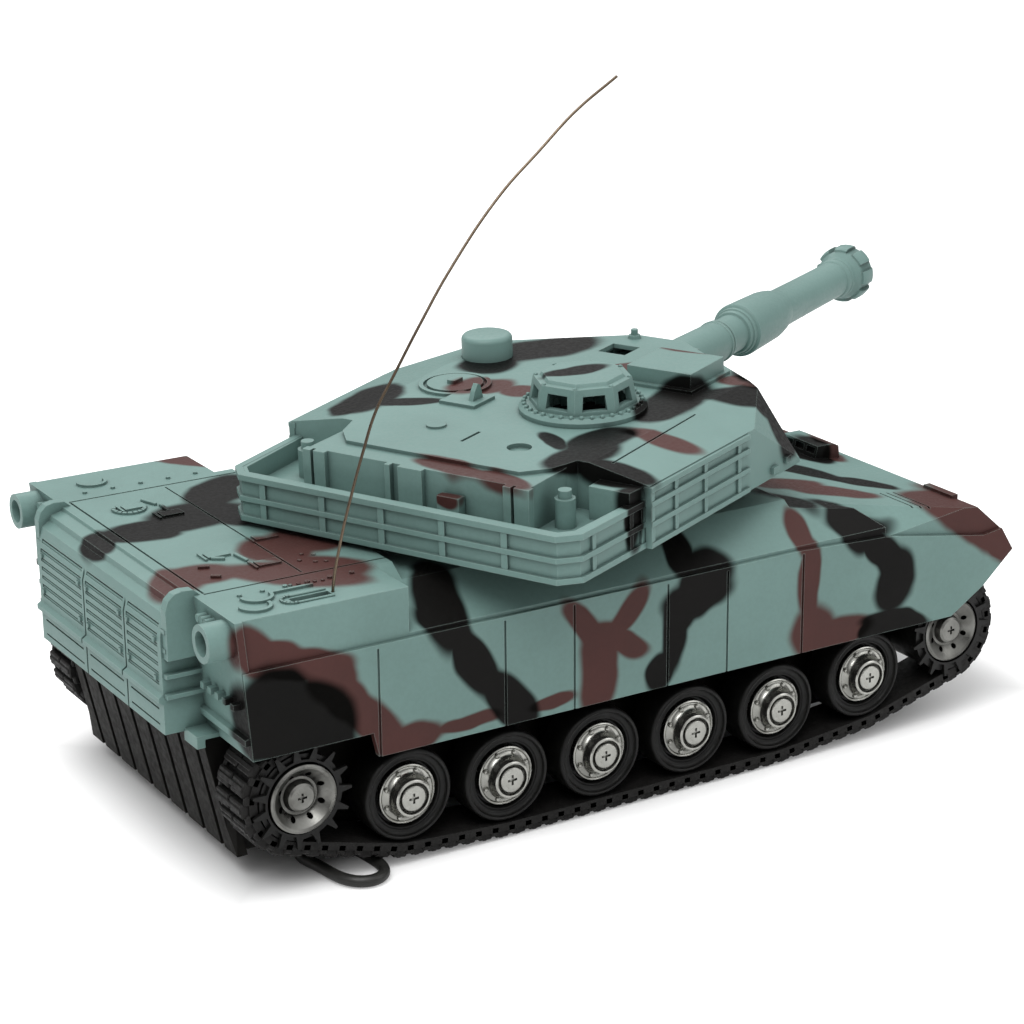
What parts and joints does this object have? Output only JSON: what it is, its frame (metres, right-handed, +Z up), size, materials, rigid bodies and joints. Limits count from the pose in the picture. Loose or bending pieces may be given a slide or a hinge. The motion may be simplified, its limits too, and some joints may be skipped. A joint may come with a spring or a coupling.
{
  "type": "rc tank",
  "caption": "Toy radio-controlled battle tank with camouflage hull, traversing turret, elevating gun, tracked running gear, wire aerial and hidden drive train.",
  "frame": {"origin": "on the ground, on the hull's centre plane, at mid-length of the hull without its rear grille", "axes": "+X forward towards the nose, +Y to the vehicle's left, +Z up"},
  "size_m": [0.2943, 0.1632, 0.1894],
  "materials": {
    "camo_plastic": "camouflage paint on moulded plastic: teal green with brown and black patches",
    "chassis_plastic": "fine matt moulded black-grey",
    "track_rubber": "matt black rubber",
    "wheel_black": "satin black moulded",
    "wheel_silver": "silver coated moulding",
    "steel": "bright drawn steel",
    "antenna_steel": "dark spring wire",
    "gear_plastic": "natural white moulded",
    "brass": "cut brass",
    "motor_can": "plated steel can",
    "cell_wrap": "plain wrapped cells",
    "board_green": "solder resist",
    "cord_rubber": "smooth black sleeve",
    "switch_plastic": "satin"
  },
  "bodies": {
    "hull": {"upper_hull": "camo_plastic", "lower_chassis": "chassis_plastic", "track_right": "track_rubber", "track_left": "track_rubber", "wheel_pins": "steel", "battery_door": "chassis_plastic", "battery_cells": "cell_wrap", "battery_contacts": "steel", "receiver_board": "board_green", "gearbox_case": "chassis_plastic", "drive_motors": "motor_can", "case_screws": "steel", "antenna_wire": "antenna_steel", "cord_loop": "cord_rubber"},
    "turret": {"turret_shell": "camo_plastic", "turret_base": "chassis_plastic", "commander_cupola": "camo_plastic", "button_spring": "steel"},
    "gun": {"gun_mantlet": "camo_plastic", "gun_barrel": "camo_plastic"},
    "fire_button": {"fire_button": "camo_plastic"},
    "power_switch": {"switch_slider": "switch_plastic"},
    "sprocket_right": {"sprocket_right": "wheel_black", "sprocket_disc_right": "wheel_silver", "drive_axle_right": "steel"},
    "idler_right": {"idler_right": "wheel_black", "idler_disc_right": "wheel_silver"},
    "road_wheel_right_1": {"road_wheel_right_1": "wheel_black", "wheel_cap_right_1": "wheel_silver"},
    "road_wheel_right_2": {"road_wheel_right_2": "wheel_black", "wheel_cap_right_2": "wheel_silver"},
    "road_wheel_right_3": {"road_wheel_right_3": "wheel_black", "wheel_cap_right_3": "wheel_silver"},
    "road_wheel_right_4": {"road_wheel_right_4": "wheel_black", "wheel_cap_right_4": "wheel_silver"},
    "road_wheel_right_5": {"road_wheel_right_5": "wheel_black", "wheel_cap_right_5": "wheel_silver"},
    "road_wheel_right_6": {"road_wheel_right_6": "wheel_black", "wheel_cap_right_6": "wheel_silver"},
    "reduction_gear_right": {"reduction_gear_right": "gear_plastic"},
    "motor_pinion_right": {"motor_pinion_right": "brass"},
    "sprocket_left": {"sprocket_left": "wheel_black", "sprocket_disc_left": "wheel_silver", "drive_axle_left": "steel"},
    "idler_left": {"idler_left": "wheel_black", "idler_disc_left": "wheel_silver"},
    "road_wheel_left_1": {"road_wheel_left_1": "wheel_black", "wheel_cap_left_1": "wheel_silver"},
    "road_wheel_left_2": {"road_wheel_left_2": "wheel_black", "wheel_cap_left_2": "wheel_silver"},
    "road_wheel_left_3": {"road_wheel_left_3": "wheel_black", "wheel_cap_left_3": "wheel_silver"},
    "road_wheel_left_4": {"road_wheel_left_4": "wheel_black", "wheel_cap_left_4": "wheel_silver"},
    "road_wheel_left_5": {"road_wheel_left_5": "wheel_black", "wheel_cap_left_5": "wheel_silver"},
    "road_wheel_left_6": {"road_wheel_left_6": "wheel_black", "wheel_cap_left_6": "wheel_silver"},
    "reduction_gear_left": {"reduction_gear_left": "gear_plastic"},
    "motor_pinion_left": {"motor_pinion_left": "brass"}
  },
  "joints": [
    {"name": "turret_traverse", "type": "hinge", "parent": "hull", "child": "turret", "pos_m": [0.028, 0, 0.0709], "axis": [0, 0, 1], "range_deg": [-166, 114]},
    {"name": "gun_elevation", "type": "hinge", "parent": "turret", "child": "gun", "pos_m": [0.05447, 0.01291, 0.09034], "axis": [0.4384, -0.8988, 0], "range_deg": [-3, 8]},
    {"name": "fire_button_press", "type": "slide", "parent": "turret", "child": "fire_button", "axis": [0.0345, 0.0168, -0.9993], "range_m": [0, 0.0025], "stiffness_N_per_m": 200, "deforming": ["button_spring"]},
    {"name": "power_switch_slide", "type": "slide", "parent": "hull", "child": "power_switch", "axis": [1, 0, 0], "range_m": [0, 0.0045]},
    {"name": "sprocket_spin_right", "type": "hinge", "parent": "hull", "child": "sprocket_right", "pos_m": [-0.0963, -0.0535, 0.0256], "axis": [0, 1, 0], "continuous": true},
    {"name": "idler_spin_right", "type": "hinge", "parent": "hull", "child": "idler_right", "pos_m": [0.1038, -0.0535, 0.0273], "axis": [0, 1, 0], "continuous": true},
    {"name": "road_wheel_right_1_spin", "type": "hinge", "parent": "hull", "child": "road_wheel_right_1", "pos_m": [-0.0665, -0.0535, 0.0186], "axis": [0, 1, 0], "continuous": true},
    {"name": "road_wheel_right_2_spin", "type": "hinge", "parent": "hull", "child": "road_wheel_right_2", "pos_m": [-0.0383, -0.0535, 0.0168], "axis": [0, 1, 0], "continuous": true},
    {"name": "road_wheel_right_3_spin", "type": "hinge", "parent": "hull", "child": "road_wheel_right_3", "pos_m": [-0.0103, -0.0535, 0.0168], "axis": [0, 1, 0], "continuous": true},
    {"name": "road_wheel_right_4_spin", "type": "hinge", "parent": "hull", "child": "road_wheel_right_4", "pos_m": [0.0176, -0.0535, 0.0168], "axis": [0, 1, 0], "continuous": true},
    {"name": "road_wheel_right_5_spin", "type": "hinge", "parent": "hull", "child": "road_wheel_right_5", "pos_m": [0.0455, -0.0535, 0.0168], "axis": [0, 1, 0], "continuous": true},
    {"name": "road_wheel_right_6_spin", "type": "hinge", "parent": "hull", "child": "road_wheel_right_6", "pos_m": [0.075, -0.0535, 0.0198], "axis": [0, 1, 0], "continuous": true},
    {"name": "reduction_gear_right_spin", "type": "hinge", "parent": "hull", "child": "reduction_gear_right", "pos_m": [-0.0825, -0.0345, 0.0256], "axis": [0, 1, 0], "continuous": true},
    {"name": "motor_pinion_right_spin", "type": "hinge", "parent": "hull", "child": "motor_pinion_right", "pos_m": [-0.0705, -0.0345, 0.0256], "axis": [0, 1, 0], "continuous": true},
    {"name": "sprocket_spin_left", "type": "hinge", "parent": "hull", "child": "sprocket_left", "pos_m": [-0.0963, 0.0535, 0.0256], "axis": [0, 1, 0], "continuous": true},
    {"name": "idler_spin_left", "type": "hinge", "parent": "hull", "child": "idler_left", "pos_m": [0.1038, 0.0535, 0.0273], "axis": [0, 1, 0], "continuous": true},
    {"name": "road_wheel_left_1_spin", "type": "hinge", "parent": "hull", "child": "road_wheel_left_1", "pos_m": [-0.0665, 0.0535, 0.0186], "axis": [0, 1, 0], "continuous": true},
    {"name": "road_wheel_left_2_spin", "type": "hinge", "parent": "hull", "child": "road_wheel_left_2", "pos_m": [-0.0383, 0.0535, 0.0168], "axis": [0, 1, 0], "continuous": true},
    {"name": "road_wheel_left_3_spin", "type": "hinge", "parent": "hull", "child": "road_wheel_left_3", "pos_m": [-0.0103, 0.0535, 0.0168], "axis": [0, 1, 0], "continuous": true},
    {"name": "road_wheel_left_4_spin", "type": "hinge", "parent": "hull", "child": "road_wheel_left_4", "pos_m": [0.0176, 0.0535, 0.0168], "axis": [0, 1, 0], "continuous": true},
    {"name": "road_wheel_left_5_spin", "type": "hinge", "parent": "hull", "child": "road_wheel_left_5", "pos_m": [0.0455, 0.0535, 0.0168], "axis": [0, 1, 0], "continuous": true},
    {"name": "road_wheel_left_6_spin", "type": "hinge", "parent": "hull", "child": "road_wheel_left_6", "pos_m": [0.075, 0.0535, 0.0198], "axis": [0, 1, 0], "continuous": true},
    {"name": "reduction_gear_left_spin", "type": "hinge", "parent": "hull", "child": "reduction_gear_left", "pos_m": [-0.0825, 0.0345, 0.0256], "axis": [0, 1, 0], "continuous": true},
    {"name": "motor_pinion_left_spin", "type": "hinge", "parent": "hull", "child": "motor_pinion_left", "pos_m": [-0.0705, 0.0345, 0.0256], "axis": [0, 1, 0], "continuous": true}
  ],
  "couplings": [
    {"joint": "idler_spin_right", "follows": "sprocket_spin_right", "ratio": 0.95},
    {"joint": "road_wheel_right_1_spin", "follows": "sprocket_spin_right", "ratio": 0.9194},
    {"joint": "road_wheel_right_2_spin", "follows": "sprocket_spin_right", "ratio": 0.9194},
    {"joint": "road_wheel_right_3_spin", "follows": "sprocket_spin_right", "ratio": 0.9194},
    {"joint": "road_wheel_right_4_spin", "follows": "sprocket_spin_right", "ratio": 0.9194},
    {"joint": "road_wheel_right_5_spin", "follows": "sprocket_spin_right", "ratio": 0.9194},
    {"joint": "road_wheel_right_6_spin", "follows": "sprocket_spin_right", "ratio": 0.9194},
    {"joint": "reduction_gear_right_spin", "follows": "sprocket_spin_right", "ratio": -3.6},
    {"joint": "motor_pinion_right_spin", "follows": "sprocket_spin_right", "ratio": 10.8},
    {"joint": "idler_spin_left", "follows": "sprocket_spin_left", "ratio": 0.95},
    {"joint": "road_wheel_left_1_spin", "follows": "sprocket_spin_left", "ratio": 0.9194},
    {"joint": "road_wheel_left_2_spin", "follows": "sprocket_spin_left", "ratio": 0.9194},
    {"joint": "road_wheel_left_3_spin", "follows": "sprocket_spin_left", "ratio": 0.9194},
    {"joint": "road_wheel_left_4_spin", "follows": "sprocket_spin_left", "ratio": 0.9194},
    {"joint": "road_wheel_left_5_spin", "follows": "sprocket_spin_left", "ratio": 0.9194},
    {"joint": "road_wheel_left_6_spin", "follows": "sprocket_spin_left", "ratio": 0.9194},
    {"joint": "reduction_gear_left_spin", "follows": "sprocket_spin_left", "ratio": -3.6},
    {"joint": "motor_pinion_left_spin", "follows": "sprocket_spin_left", "ratio": 10.8}
  ]
}
